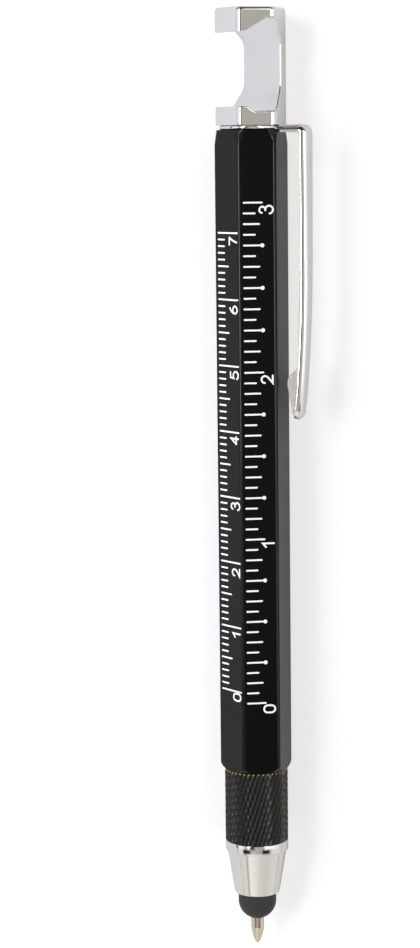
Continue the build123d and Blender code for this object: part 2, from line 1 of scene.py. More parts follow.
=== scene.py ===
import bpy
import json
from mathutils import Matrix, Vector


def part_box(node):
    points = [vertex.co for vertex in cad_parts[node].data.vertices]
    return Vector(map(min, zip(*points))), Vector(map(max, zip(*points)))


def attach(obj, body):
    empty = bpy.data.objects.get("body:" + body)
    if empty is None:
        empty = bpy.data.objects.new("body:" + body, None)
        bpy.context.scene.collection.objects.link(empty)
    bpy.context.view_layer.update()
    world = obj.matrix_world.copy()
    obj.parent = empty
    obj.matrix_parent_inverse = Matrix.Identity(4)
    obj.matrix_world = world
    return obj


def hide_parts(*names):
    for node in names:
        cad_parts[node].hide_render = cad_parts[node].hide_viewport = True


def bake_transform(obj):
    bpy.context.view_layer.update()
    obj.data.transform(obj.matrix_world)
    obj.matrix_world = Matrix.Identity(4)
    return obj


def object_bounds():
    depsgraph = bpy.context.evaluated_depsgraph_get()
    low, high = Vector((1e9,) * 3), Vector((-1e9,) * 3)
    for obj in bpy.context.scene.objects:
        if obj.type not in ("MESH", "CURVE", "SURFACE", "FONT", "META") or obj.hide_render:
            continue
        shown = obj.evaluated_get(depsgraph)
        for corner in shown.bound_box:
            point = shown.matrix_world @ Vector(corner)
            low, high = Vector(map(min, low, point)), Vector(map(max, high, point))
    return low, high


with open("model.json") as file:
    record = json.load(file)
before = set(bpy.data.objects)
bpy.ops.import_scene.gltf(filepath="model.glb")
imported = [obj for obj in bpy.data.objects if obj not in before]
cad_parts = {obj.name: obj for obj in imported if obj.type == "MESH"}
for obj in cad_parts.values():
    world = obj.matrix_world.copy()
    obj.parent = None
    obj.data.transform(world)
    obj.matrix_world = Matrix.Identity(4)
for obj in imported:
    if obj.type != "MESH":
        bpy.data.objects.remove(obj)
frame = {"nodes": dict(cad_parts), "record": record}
CAD_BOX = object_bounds()

"""A black twist ballpoint: hexagonal ruler barrel, sprung clip, knurled grip, stylus nose and opener head.

Pieces are modelled in millimetres, upright on the pen's axis: z = 0 is the end of the writing ball, +z
leads to the head and -y is the side that faces up on the desk. lay_down puts each one in the frame.
"""

import json
import logging
import math
from collections.abc import Callable, Sequence
from dataclasses import dataclass
from enum import Enum
from itertools import pairwise

import bpy
from mathutils import Matrix, Vector

log = logging.getLogger("pen")

MM = 0.001
# In millimetres: points closer than the first are one, places closer than the second are on one surface
MERGE = 0.0005
NEAR = 0.005
# Edges sharper than these stay sharp to the eye, are a fold of the clip's sheet, or are the sheet's rim
SHARP_ANGLE = math.radians(28)
FOLD_ANGLE = math.radians(40)
RIM_ANGLE = math.radians(50)
ROUND_STEPS = 96
NOSE_STEPS = 128
POINT_STEPS = 48
HEX_SIDES = 6
HEX_HALF_ANGLE = math.radians(30)
# Turn about the pen's axis from +x to the flat that the clip is over
CLIP_TURN = math.radians(-30)

Obj = bpy.types.Object
Tree = bpy.types.NodeTree
Socket = bpy.types.NodeSocket
Material = bpy.types.Material
# A place in the plane through the axis, or a pair of lengths or shares
Point = tuple[float, float]
Triple = tuple[float, float, float]
Test = Callable[[Vector], bool]


class Cut(Enum):
    """What a second solid does to a first."""

    KEEP_COMMON = "INTERSECT"
    TAKE_AWAY = "DIFFERENCE"
    ADD = "UNION"


# Places in the pen


@dataclass(frozen=True)
class Axis:
    """Where the pen's axis and its tip lie in the frame, in metres."""

    tip: float
    height: float

    def lay_down(self) -> Matrix:
        """The matrix that takes upright millimetres into the frame."""
        turn = Matrix(((1, 0, 0, 0), (0, 0, 1, 0), (0, -1, 0, 0), (0, 0, 0, 1)))
        return Matrix.Translation((0, self.tip, self.height)) @ turn @ Matrix.Scale(MM, 4)

    def stations(self, node: str) -> Point:
        """Heights between which a CAD node lies, in upright millimetres."""
        low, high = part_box(node)
        return (low.y - self.tip) / MM, (high.y - self.tip) / MM

    def over_flat(self, reach: float, height: float) -> Vector:
        """A point in the frame, over the middle of the clip's flat.

        Args:
            reach: its distance from the pen's axis, in millimetres.
            height: its station on the pen, in millimetres.

        Returns:
            The point in metres.
        """
        return self.lay_down() @ Vector((reach * math.cos(CLIP_TURN), reach * math.sin(CLIP_TURN), height))


def pen_axis() -> Axis:
    """Find the pen's axis from the writing ball."""
    low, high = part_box("writing_ball")
    return Axis(tip=low.y, height=(low.z + high.z) / 2)


AXIS = pen_axis()


def half_width(node: str, axis: int = 0) -> float:
    """Half of a CAD node's extent along an axis of the frame, in millimetres."""
    low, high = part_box(node)
    return (high[axis] - low[axis]) / 2 / MM


# Modelling


def deselect() -> None:
    """Leave edit mode and select nothing."""
    if bpy.context.object and bpy.context.object.mode != "OBJECT":
        bpy.ops.object.mode_set(mode="OBJECT")
    bpy.ops.object.select_all(action="DESELECT")


def choose(obj: Obj) -> None:
    """Make one object the only one selected, and active."""
    deselect()
    obj.select_set(True)
    bpy.context.view_layer.objects.active = obj


def edit(obj: Obj, mode: str = "VERT", action: str = "DESELECT") -> None:
    """Open an object in edit mode with nothing selected in it, or everything."""
    choose(obj)
    bpy.ops.object.mode_set(mode="EDIT")
    bpy.ops.mesh.select_mode(type=mode)
    bpy.ops.mesh.select_all(action=action)


def pick_edges(obj: Obj, test: Callable[[Vector, Vector], bool], sharper: float = 0) -> None:
    """Select the edges whose two ends pass a test, and open them in edit mode.

    Args:
        obj: the object.
        test: whether an edge with these ends is wanted.
        sharper: the angle that it has to be sharper than, if any.
    """
    edit(obj, "EDGE")
    if sharper:
        bpy.ops.mesh.edges_select_sharp(sharpness=sharper)
    keep_edges(obj, lambda a, b, chosen: (chosen or not sharper) and test(a, b))


def keep_edges(obj: Obj, test: Callable[[Vector, Vector, bool], bool]) -> None:
    """Select edges of an opened object by their ends and by whether they are selected now."""
    bpy.ops.object.mode_set(mode="OBJECT")
    places = [v.co for v in obj.data.vertices]
    for edge in obj.data.edges:
        edge.select = test(places[edge.vertices[0]], places[edge.vertices[1]], edge.select)
    bpy.ops.object.mode_set(mode="EDIT")


def pick_faces(obj: Obj, test: Test) -> None:
    """Select the faces whose centre passes a test, and open them in edit mode."""
    edit(obj, "FACE")
    bpy.ops.object.mode_set(mode="OBJECT")
    for face in obj.data.polygons:
        face.select = test(face.center)
    bpy.ops.object.mode_set(mode="EDIT")


def modifier(obj: Obj, kind: str, **settings: object) -> None:
    """Add a modifier with its settings and apply it."""
    choose(obj)
    bpy.ops.object.modifier_add(type=kind)
    added = obj.modifiers[-1]
    for name, value in settings.items():
        setattr(added, name, value)
    bpy.ops.object.modifier_apply(modifier=added.name)


def combine(obj: Obj, other: Obj, how: Cut, tolerant: bool = False) -> None:
    """Cut one solid with another, or join it on, and remove the other.

    Args:
        obj: the solid that stays.
        other: the solid that cuts it or is joined on.
        how: what the second does to the first.
        tolerant: whether the solver allows for surfaces that touch themselves.
    """
    modifier(obj, "BOOLEAN", object=other, operation=how.value, solver="EXACT", use_hole_tolerant=tolerant)
    bpy.data.objects.remove(other)


def merge_points(obj: Obj) -> None:
    """Merge doubled points and turn every face outwards."""
    edit(obj, action="SELECT")
    bpy.ops.mesh.remove_doubles(threshold=MERGE)
    bpy.ops.mesh.normals_make_consistent(inside=False)
    deselect()


def seal(obj: Obj) -> None:
    """Close the slits and small holes that cuts leave."""
    merge_points(obj)
    edit(obj, action="SELECT")
    bpy.ops.mesh.dissolve_degenerate(threshold=MERGE)
    bpy.ops.mesh.select_all(action="SELECT")
    bpy.ops.mesh.fill_holes(sides=0)
    bpy.ops.mesh.select_all(action="SELECT")
    bpy.ops.mesh.normals_make_consistent(inside=False)
    deselect()


def outline(name: str, points: Sequence[Point], closed: bool = True) -> Obj:
    """Draw a line of points in the plane through the axis.

    Args:
        name: the new object's name.
        points: its corners, as distance from the axis and height.
        closed: whether the line is closed and filled with a face.

    Returns:
        The new object.
    """
    deselect()
    bpy.ops.mesh.primitive_plane_add(size=1)
    obj = bpy.context.object
    obj.name = name
    bpy.ops.object.mode_set(mode="EDIT")
    bpy.ops.mesh.select_mode(type="VERT")
    bpy.ops.mesh.select_all(action="SELECT")
    bpy.ops.mesh.merge(type="CENTER")
    corners = [Vector((reach, 0, height)) for reach, height in points]
    bpy.ops.transform.translate(value=corners[0])
    for start, end in pairwise(corners):
        bpy.ops.mesh.extrude_vertices_move(TRANSFORM_OT_translate={"value": end - start})
    if closed:
        bpy.ops.mesh.select_all(action="SELECT")
        bpy.ops.mesh.edge_face_add()
    bpy.ops.object.mode_set(mode="OBJECT")
    return obj


def turned(name: str, points: Sequence[Point], steps: int = ROUND_STEPS) -> Obj:
    """Spin a closed outline of radius and height round the pen's axis."""
    obj = outline(name, [*points, points[0]], closed=False)
    edit(obj, action="SELECT")
    bpy.ops.mesh.spin(steps=steps, angle=math.tau, center=(0, 0, 0), axis=(0, 0, 1))
    merge_points(obj)
    return obj


def arc(centre: Point, radius: float, start: float, stop: float, steps: int) -> list[Point]:
    """Points along an arc, its angles in degrees from the outward direction."""
    angles = [math.radians(start + (stop - start) * i / steps) for i in range(steps + 1)]
    return [(centre[0] + radius * math.cos(a), centre[1] + radius * math.sin(a)) for a in angles]


def rounded(corners: Sequence[Triple], steps: int = 6) -> list[Point]:
    """Round an outline's corners.

    Args:
        corners: distance from the axis, height and radius of each corner, in order round the outline.
        steps: how many runs each arc is divided into.

    Returns:
        The outline's points.
    """
    points: list[Point] = []
    count = len(corners)
    for i, (x, y, radius) in enumerate(corners):
        here = Vector((x, y))
        if not radius:
            points.append((x, y))
            continue
        back = (Vector(corners[i - 1][:2]) - here).normalized()
        ahead = (Vector(corners[(i + 1) % count][:2]) - here).normalized()
        half = back.angle(ahead) / 2
        centre = here + (back + ahead).normalized() * (radius / math.sin(half))
        first, last = (here + way * (radius / math.tan(half)) - centre for way in (back, ahead))
        sweep = first.angle_signed(last)
        for step in range(steps + 1):
            points.append(tuple(centre + Matrix.Rotation(-sweep * step / steps, 2) @ first))
    return points


def hex_bar(name: str, corner: float, edge_radius: float, low: float, high: float) -> Obj:
    """A hexagonal bar with rounded long edges, two of its flats square to y."""
    obj = rod(name, corner, low, high, HEX_SIDES, HEX_HALF_ANGLE)
    pick_edges(obj, lambda a, b: abs(a.z - b.z) > MERGE)
    offset = edge_radius * math.tan(HEX_HALF_ANGLE)
    bpy.ops.mesh.bevel(offset=offset, offset_type="OFFSET", segments=5, affect="EDGES")
    deselect()
    return obj


def rod(
    name: str, radius: float, low: float, high: float, sides: int = ROUND_STEPS, turn: float = 0
) -> Obj:
    """A round or many-sided bar on the axis, turned about it."""
    deselect()
    middle = (0, 0, (low + high) / 2)
    bpy.ops.mesh.primitive_cylinder_add(
        vertices=sides, radius=radius, depth=high - low, location=middle, rotation=(0, 0, turn)
    )
    obj = bpy.context.object
    obj.name = name
    bpy.ops.object.transform_apply()
    return obj


# Finishes


# The grain's noise, and the runs of it over which roughness and tint change
GRAIN_NOISE = {"Detail": 3.0, "Roughness": 0.6}
ROUGH_GRAIN = (0.3, 0.7)
TINTED_GRAIN = (0.4, 0.75)


def colour(code: str) -> tuple[float, ...]:
    """Linear colour and alpha of an sRGB hex colour."""
    parts = [int(code[i : i + 2], 16) / 255 for i in (1, 3, 5)]
    linear = [c / 12.92 if c <= 0.04045 else ((c + 0.055) / 1.055) ** 2.4 for c in parts]
    return (*linear, 1.0)


def add_node(tree: Tree, kind: str, settings: dict, links: dict) -> bpy.types.Node:
    """Add a node.

    Args:
        tree: the node tree.
        kind: the shader node's type.
        settings: values of its properties, and of inputs that carry that name.
        links: the sockets that feed its inputs.

    Returns:
        The new node.
    """
    node = tree.nodes.new("ShaderNode" + kind)
    for name, value in settings.items():
        if isinstance(name, str) and hasattr(node, name):
            setattr(node, name, value)
        else:
            node.inputs[name].default_value = value
    for name, socket in links.items():
        tree.links.new(socket, node.inputs[name])
    return node


def reckon(tree: Tree, operation: str, *values: Socket | float) -> Socket:
    """The result of a sum whose values are sockets or numbers."""
    fixed = {i: value for i, value in enumerate(values) if isinstance(value, float)}
    linked = {i: value for i, value in enumerate(values) if i not in fixed}
    return add_node(tree, "Math", {"operation": operation, **fixed}, linked).outputs[0]


def between(
    tree: Tree, value: Socket, low: float, high: float, first: float = 0.0, last: float = 1.0
) -> Socket:
    """Spread a value's run from low to high over the run from first to last, and hold it there."""
    settings = {"From Min": low, "From Max": high, "To Min": first, "To Max": last}
    return add_node(tree, "MapRange", settings, {"Value": value}).outputs[0]


def from_axis(tree: Tree, where: Socket, height: float) -> Socket:
    """Distance of each place from the pen's axis, which lies at this height."""
    parts = add_node(tree, "SeparateXYZ", {}, {0: where}).outputs
    above = reckon(tree, "SUBTRACT", parts[2], height)
    flat = add_node(tree, "CombineXYZ", {}, {0: parts[0], 1: above}).outputs[0]
    return add_node(tree, "VectorMath", {"operation": "LENGTH"}, {0: flat}).outputs["Value"]


def blank_material(name: str) -> Material:
    """A material with an empty node tree."""
    material = bpy.data.materials.new(name)
    material.use_nodes = True
    material.node_tree.nodes.clear()
    return material


@dataclass(frozen=True)
class Finish:
    """A surface: what it is made of and how it was made."""

    name: str
    code: str  # its colour in sRGB
    roughness: float  # how matt it is
    metallic: float = 0.0  # 1 on bare metal
    ior: float = 1.5  # refractive index of its clear or painted top, the default on a metal
    faint: str = "#FFFFFF"  # tint of its gloss where it is looked at square on
    grain: float = 0.2  # size of its grain in millimetres
    grain_stretch: float = 1.0  # how much longer the grain is along the pen than across it
    bump: float = 0.002  # height of the grain in millimetres
    mottle: float = 0.05  # how far the roughness strays over the grain
    tint: str = "#FFFFFF"  # the colour that the paler grain goes to
    tint_share: float = 0.0  # how much of that colour shows there

    def make(self) -> Material:
        """Build the material."""
        material = blank_material(self.name)
        tree = material.node_tree
        where = add_node(tree, "TexCoord", {}, {}).outputs["Object"]
        scale = (1, 1 / self.grain_stretch, 1)
        mapped = add_node(tree, "Mapping", {"Scale": scale}, {"Vector": where}).outputs[0]
        settings = {"Scale": 1 / (self.grain * MM), **GRAIN_NOISE}
        noise = add_node(tree, "TexNoise", settings, {"Vector": mapped}).outputs[0]
        least, most = max(0.0, self.roughness - self.mottle), min(1.0, self.roughness + self.mottle)
        rough = between(tree, noise, *ROUGH_GRAIN, least, most)
        settings = {"Strength": 1.0, "Distance": self.bump * MM}
        bump = add_node(tree, "Bump", settings, {"Height": noise}).outputs[0]
        settings = {"data_type": "RGBA", 6: colour(self.code), 7: colour(self.tint)}
        shade = add_node(tree, "Mix", settings, {0: self.share(tree, where, noise)}).outputs[2]
        links = {"Base Color": shade, "Roughness": rough, "Normal": bump, **self.metal(tree, where)}
        settings = {"Metallic": self.metallic, "IOR": self.ior, "Specular Tint": colour(self.faint)}
        shader = add_node(tree, "BsdfPrincipled", settings, links)
        add_node(tree, "OutputMaterial", {}, {"Surface": shader.outputs[0]})
        return material

    def metal(self, tree: Tree, where: Socket) -> dict:
        """Links that make some places more metallic than the rest: none here."""
        return {}

    def share(self, tree: Tree, where: Socket, noise: Socket) -> Socket:
        """How much of the tint shows at each place."""
        return between(tree, noise, *TINTED_GRAIN, 0.0, self.tint_share)


@dataclass(frozen=True)
class WornEdgesAndSheen(Finish):
    """Hard black coat, made paler and metallic on the bar's long edges and turned end: a thin coat there, and
    a painted highlight.
    """

    mark_radius: float = 0.0  # distance from the axis beyond which the edges' thin coat and painted highlight show, in metres
    axis_height: float = 0.0  # height of the pen's axis, in metres
    cone_foot: Point = (0.0, 0.0)  # start of the turned end's cone: place along Y and radius, in metres
    cone_top: Point = (0.0, 0.0)  # end of that cone
    fade: float = 0.03 * MM  # how far out from there the metal and its painted highlight show in full, in metres

    def wear_and_sheen(self, tree: Tree, where: Socket) -> Socket:
        """A value that rises from 0 to 1 on the edges and on the turned end, where the highlight is painted.
        """
        along = add_node(tree, "SeparateXYZ", {}, {0: where}).outputs[1]
        (foot, foot_radius), (top, top_radius) = self.cone_foot, self.cone_top
        cone = between(tree, along, foot, top, foot_radius, top_radius)
        least = reckon(tree, "MINIMUM", cone, self.mark_radius)
        over = reckon(tree, "SUBTRACT", from_axis(tree, where, self.axis_height), least)
        return between(tree, over, 0.0, self.fade)

    def metal(self, tree: Tree, where: Socket) -> dict:
        """The dark metal's own gloss there, which also paints a highlight on the edges."""
        return {"Metallic": self.wear_and_sheen(tree, where)}

    def share(self, tree: Tree, where: Socket, noise: Socket) -> Socket:
        """How much of the paler edge colour, partly a painted highlight, shows at each place."""
        return self.wear_and_sheen(tree, where)


@dataclass(frozen=True)
class WornPaint(Finish):
    """Black paint on brass, cut through to the metal in a narrow ring at one end."""

    bare_from: float = 0.0  # where the bare ring starts along the frame's Y, in metres
    mark_radius: float = 0.0  # distance from the axis beyond which the metal shows there, in metres
    axis_height: float = 0.0  # height of the pen's axis, in metres

    def share(self, tree: Tree, where: Socket, noise: Socket) -> Socket:
        """How much bare brass shows at each place."""
        parts = add_node(tree, "SeparateXYZ", {}, {0: where}).outputs
        along = reckon(tree, "GREATER_THAN", parts[1], self.bare_from)
        out = reckon(tree, "GREATER_THAN", from_axis(tree, where, self.axis_height), self.mark_radius)
        return reckon(tree, "MULTIPLY", along, out)


class Palette:
    """The pen's finishes, by the record's material slots."""

    inside = 0.02  # how far under the turned end's surface its thin coat and painted highlight start, in millimetres

    def __init__(self) -> None:
        """Build every finish."""
        grip_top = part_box("grip_sleeve")[1].y
        barrel_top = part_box("barrel")[1].y
        turned_end = Barrel()
        corner = half_width("barrel", 2) / math.cos(HEX_HALF_ANGLE)
        self.finishes: dict[str, Finish] = {
            # Aluminium, fine-ground, anodised black and sealed: near black, glossy only at a low angle;
            # paler, metallic edges are a thin coat and a painted highlight
            "black_anodised": WornEdgesAndSheen(
                "black anodised aluminium", "#090908", 0.12, faint="#787878", grain=0.12, grain_stretch=8,
                bump=0.0006, mottle=0.03, tint="#2F2E2C", mark_radius=5.48 * MM, axis_height=AXIS.height,
                cone_foot=(barrel_top - turned_end.top_taper * MM, (corner - self.inside) * MM),
                cone_top=(barrel_top, (turned_end.top_radius - self.inside) * MM),
            ),
            # Brass, diamond-knurled and painted black, bare where the end was faced
            "black_brass": WornPaint(
                "black painted brass", "#0E0E0D", 0.3, faint="#F0F0EC", grain=0.15, bump=0.004,
                mottle=0.08, tint="#B8984E", bare_from=grip_top - 0.22 * MM, mark_radius=4.8 * MM,
                axis_height=AXIS.height,
            ),
            # Screen-printed epoxy ink: flat white, a little uneven
            "white_ink": Finish(
                "white screen ink", "#F4F4F1", 0.55, grain=0.3, tint="#DCDCD8", tint_share=0.2
            ),
            # Zinc die casting, polished and chromed: mirror with a faint cast waviness
            "chrome_casting": Finish(
                "polished chromed casting", "#D6D6D8", 0.07, 1.0, grain=1.6, bump=0.004, mottle=0.03
            ),
            # Steel strip, pressed, polished and chromed
            "chrome_sheet": Finish(
                "chromed spring sheet", "#D7D7D8", 0.08, 1.0, grain=1.2, grain_stretch=5, mottle=0.03
            ),
            # Brass, turned and nickel-chrome plated: warmer than the casting
            "chrome_nose": Finish(
                "plated turned nose", "#D6D5D4", 0.08, 1.0, grain=0.5, grain_stretch=0.2, bump=0.0008,
                mottle=0.03,
            ),
            # Conductive silicone rubber: matt charcoal with a dusty bloom
            "stylus_rubber": Finish(
                "conductive silicone rubber", "#1C1C1A", 0.62, grain=0.12, bump=0.004, tint="#333330",
                tint_share=0.4,
            ),
            # Nickel silver point, turned
            "point_metal": Finish(
                "turned nickel silver", "#D9CDBD", 0.2, 1.0, grain=0.3, grain_stretch=0.15, bump=0.001,
                tint="#8A7460", tint_share=0.6,
            ),
            # Sintered tungsten carbide, ground to a ball
            "ball_metal": Finish("ground carbide", "#9A9A9C", 0.3, 1.0, grain=0.05, bump=0.0004),
            # Free-cutting brass, turned
            "brass": Finish(
                "turned brass", "#D9B25A", 0.25, 1.0, grain=0.3, grain_stretch=0.15, bump=0.0015
            ),
            # Tool steel, turned and hardened
            "steel": Finish(
                "hardened steel", "#A9A9AB", 0.3, 1.0, grain=0.3, grain_stretch=0.3, bump=0.0015, mottle=0.08
            ),
            # Sintered magnet, nickel plated
            "magnet": Finish("nickel plated magnet", "#CFCDC6", 0.18, 1.0, grain=0.4, bump=0.0005),
            # Acetal, injection moulded
            "acetal": Finish("moulded acetal", "#ECEBE4", 0.38, grain=0.25, tint="#DEDDD2", tint_share=0.4),
            # Ballpoint ink paste
            "ink": Finish("ballpoint ink", "#08080C", 0.15, grain=0.6),
        }
        self.materials = {slot: finish.make() for slot, finish in self.finishes.items()}

    def paint_nodes(self) -> None:
        """Give each CAD node the finish of its slot in the record."""
        for part in frame["record"]["subparts"]:
            obj = frame["nodes"][part["node"]]
            material = self.materials[part["material_slot"]]
            if obj.material_slots:
                obj.material_slots[0].material = material
            else:
                obj.data.materials.append(material)

    def dress(self, obj: Obj, body: str, slot: str, *nodes: str) -> None:
        """Lay a finished piece in the frame, smooth it, give it its finish and let it ride.

        Args:
            obj: the piece, upright and in millimetres.
            body: the CAD body that it rides on, or nothing, and then it is left unattached.
            slot: the record's material slot.
            *nodes: the CAD nodes that it stands for.
        """
        obj.data.transform(AXIS.lay_down())
        obj.data.update()
        choose(obj)
        bpy.ops.object.shade_smooth_by_angle(angle=SHARP_ANGLE)
        modifier(obj, "WEIGHTED_NORMAL", keep_sharp=True, weight=80)
        obj.data.materials.clear()
        obj.data.materials.append(self.materials[slot])
        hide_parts(*nodes)
        if body:
            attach(obj, body)
        log.info("%s: %d faces, rides on %s", obj.name, len(obj.data.polygons), body or "two bodies")


# Pieces


@dataclass(frozen=True)
class Barrel:
    """Hexagonal aluminium tube, turned at both ends."""

    edge_radius: float = 0.65  # rounding of its six long edges
    foot_radius: float = 4.85  # radius of the turned end at the grip
    foot_taper: float = 1.6  # length of that turning
    top_radius: float = 5.2  # radius of the turned end at the clip
    top_taper: float = 3.0  # length of that turning
    bore_radius: float = 3.8  # bore for the bush, the mechanism and the plug
    top_bore_radius: float = 3.6  # bore for the threaded insert
    spare: float = 0.4  # how far a cutting tool stands clear

    def turning(self, low: float, high: float, corner: float) -> Obj:
        """The turned shape that takes the six edges off, in an arc at the grip and a cone at the clip."""
        foot = taper_points((self.foot_radius, low), (corner, low + self.foot_taper))
        wide = corner + self.spare
        middle = [(wide, low + self.foot_taper), (wide, high - self.top_taper)]
        top = [(corner, high - self.top_taper), (self.top_radius, high), (self.bore_radius, high)]
        return turned("turning", [(self.bore_radius, low), *foot, *middle, *top])

    def build(self, palette: Palette) -> None:
        """Build the tube."""
        low, high = AXIS.stations("barrel")
        corner = half_width("barrel", 2) / math.cos(HEX_HALF_ANGLE)
        tube = hex_bar("barrel_tube", corner, self.edge_radius, low, high)
        combine(tube, self.turning(low, high, corner), Cut.KEEP_COMMON)
        bore_end = AXIS.stations("top_insert")[0] - self.spare
        combine(tube, rod("bore", self.top_bore_radius, bore_end, high + self.spare), Cut.TAKE_AWAY)
        merge_points(tube)
        palette.dress(tube, "barrel", "black_anodised", "barrel")


def taper_points(end: Point, tangent: Point, steps: int = 8) -> list[Point]:
    """Points of the arc from a turned end to where it runs into the full radius without a corner."""
    run = abs(tangent[1] - end[1])
    rise = tangent[0] - end[0]
    radius = (run**2 + rise**2) / (2 * rise)
    side = math.copysign(1, end[1] - tangent[1])
    points = []
    for step in range(steps + 1):
        along = run * (1 - step / steps)
        points.append((tangent[0] - radius + math.sqrt(radius**2 - along**2), tangent[1] + side * along))
    return points


@dataclass(frozen=True)
class Clip:
    """Pressed clip: a round collar plate and a sprung channel, one strip of sheet."""

    hole_radius: float = 3.66  # hole for the insert
    reach: float = 9.4  # distance of the arm's outer face from the axis
    width: float = 3.8  # width of the arm at its top
    end_width: float = 3.0  # width at its end
    straight: float = 20.6  # length of the arm's straight part
    curve_radius: float = 227.0  # radius of the gentle curve below it
    bend_radius: float = 1.3  # outer radius of the bend at the top
    sheet: float = 0.45  # thickness of the sheet
    flange: float = 1.1  # depth of the flanges
    shoulder: float = 0.95  # rounding of the sheet where the flanges start
    lobe_start: float = 7.95  # height of the lobe's sharp start above the arm's end
    lobe_peak: float = 6.27  # height of its peak above the end
    lobe_depth: float = 2.8  # depth of its peak under the outer face
    lobe_round: float = 2.2  # rounding of that peak
    lobe_corner: float = 0.12  # rounding of the lobe's start
    lobe_end_depth: float = 1.1  # depth of the flange at the end
    end_round: float = 1.35  # rounding of the arm's end, seen from outside
    gusset_round: float = 0.6  # rounding under the bend
    rim: float = 0.1  # rounding of the sheet's edges
    plate_round: float = 0.28  # rounding of the collar plate's rim
    flex: Point = (0.66, 1.32)  # where the sheet starts and stops to give, beyond the barrel's flat
    lift: float = 0.03  # how far the arm's root lies above the plate's underside
    stand_off: float = 0.7  # distance from the barrel's flat at which the flanges start
    spare: float = 0.5  # how far a cutting tool stands clear
    arc_steps: int = 10  # runs that the bend and the side's corners are divided into
    curve_steps: int = 18  # runs of the arm's length
    end_steps: int = 8  # runs of its rounded end's corners

    def face(self, top: float, height: float) -> float:
        """Distance of the outer face from the axis at a height."""
        below = max(0.0, top - self.straight - height)
        return self.reach - (self.curve_radius - math.sqrt(self.curve_radius**2 - below**2))

    def web(self, top: float, end: float, inset: float, root: float) -> list[Point]:
        """The outer face from the root to the end, moved in by inset."""
        radius = self.bend_radius - inset
        centre = (self.reach - self.bend_radius, top - self.bend_radius)
        bend = arc(centre, radius, 90, 0, self.arc_steps)
        low = top - self.straight
        steps = self.curve_steps
        curve = [low + (end + inset - low) * i / steps for i in range(steps + 1)]
        return [(root, top - inset), *bend, *((self.face(top, height) - inset, height) for height in curve)]

    def side(self, top: float, end: float, root: float) -> Obj:
        """The arm's side, filled, with the lobe near its end."""
        web = self.web(top, end, 0, root)
        inner = self.reach - self.flange
        peak = end + self.lobe_peak
        start = end + self.lobe_start
        corners = [
            (*web[-1], 0), (web[-1][0] - self.lobe_end_depth, end, self.rim),
            (self.face(top, peak) - self.lobe_depth, peak, self.lobe_round),
            (self.face(top, start) - self.flange, start, self.lobe_corner),
            (inner, top - self.straight, 0), (inner, top - self.flange, self.gusset_round),
            (root, top - self.flange, 0), (root, top, 0),
        ]
        rim = rounded(corners, self.arc_steps)
        return outline("clip", web[:-1] + rim[:-1])

    def hollow(self, top: float, end: float, back: float) -> Obj:
        """The space between the flanges, open towards the barrel."""
        web = self.web(top, end, self.sheet, back)
        return outline("hollow", [*web, (back, web[-1][1])])

    def plan(self, top: float, end: float, inset: float) -> Obj:
        """A block with the arm's tapering width and rounded end, less a margin all round."""
        half, end_half = self.width / 2 - inset, self.end_width / 2 - inset
        low, high = end + inset, top + self.spare
        round_end = self.end_round - inset
        corners = [(-half, high, 0), (-end_half, low, round_end), (end_half, low, round_end), (half, high, 0)]
        block = outline("plan", rounded(corners, self.end_steps))
        block.data.transform(Matrix.Rotation(math.radians(90), 4, "Z"))
        self.thicken(block, (0, 0, 0), (self.reach + self.spare, 0, 0))
        return block

    def thicken(self, obj: Obj, shift: Triple, drawn: Triple) -> None:
        """Move a flat outline and draw it out to a solid."""
        edit(obj, "FACE", "SELECT")
        bpy.ops.transform.translate(value=shift)
        bpy.ops.mesh.extrude_region_move(TRANSFORM_OT_translate={"value": drawn})
        merge_points(obj)

    def on_web(self, top: float, end: float, inset: float) -> Test:
        """A test for points on the outer face, moved in by inset."""
        bend = Vector((self.reach - self.bend_radius, top - self.bend_radius))

        def test(place: Vector) -> bool:
            """Whether a place lies on it."""
            if place.x < bend.x:
                return abs(place.z - top + inset) < NEAR
            if place.z > bend.y:
                return abs((Vector((place.x, place.z)) - bend).length - self.bend_radius + inset) < NEAR
            return abs(self.face(top, place.z) - inset - place.x) < NEAR

        return test

    def channel(self, top: float, end: float, root: float, back: float) -> Obj:
        """The arm, facing +x."""
        solids = []
        for shape, inset in ((self.side(top, end, root), 0.0), (self.hollow(top, end, back), self.sheet)):
            self.thicken(shape, (0, -self.width, 0), (0, 2 * self.width, 0))
            combine(shape, self.plan(top, end, inset), Cut.KEEP_COMMON)
            merge_points(shape)
            on_web = self.on_web(top, end, inset)
            pick_edges(shape, lambda a, b: on_web(a) and on_web(b), sharper=FOLD_ANGLE)
            offset = max(self.shoulder - inset, self.rim)
            bpy.ops.mesh.bevel(
                offset=offset, offset_type="OFFSET", segments=7, affect="EDGES", clamp_overlap=False
            )
            merge_points(shape)
            solids.append(shape)
        arm, hollow = solids
        combine(arm, hollow, Cut.TAKE_AWAY, tolerant=True)
        return arm

    def build(self, palette: Palette) -> None:
        """Build collar and arm as one strip."""
        low, top = AXIS.stations("clip_collar")
        end = AXIS.stations("clip_arm")[0]
        flat = half_width("barrel", 2)
        plate_radius = half_width("clip_collar", 2)
        arm = self.channel(top, end, self.hole_radius + self.sheet, flat + self.sheet)
        arm.data.transform(Matrix.Rotation(CLIP_TURN, 4, "Z"))
        clear = rod("clear", flat + self.stand_off, low - 2 * self.flange, low + self.lift)
        combine(arm, clear, Cut.TAKE_AWAY, tolerant=True)
        inner = self.hole_radius - self.sheet
        rim = [(plate_radius, low, self.plate_round), (plate_radius, top, self.plate_round)]
        plate = turned("plate", rounded([(inner, low, 0), *rim, (inner, top, 0)]))
        combine(arm, plate, Cut.ADD, tolerant=True)
        hole = rod("hole", self.hole_radius, low - self.sheet, top + self.sheet)
        combine(arm, hole, Cut.TAKE_AWAY, tolerant=True)
        seal(arm)
        modifier(arm, "BEVEL", width=self.rim, segments=3, limit_method="ANGLE", angle_limit=RIM_ANGLE)
        palette.dress(arm, "", "chrome_sheet", "clip_collar", "clip_arm")
        start, stop = (AXIS.over_flat(flat + run, top) for run in self.flex)
        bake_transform(arm)
        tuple(start)
        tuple(stop)


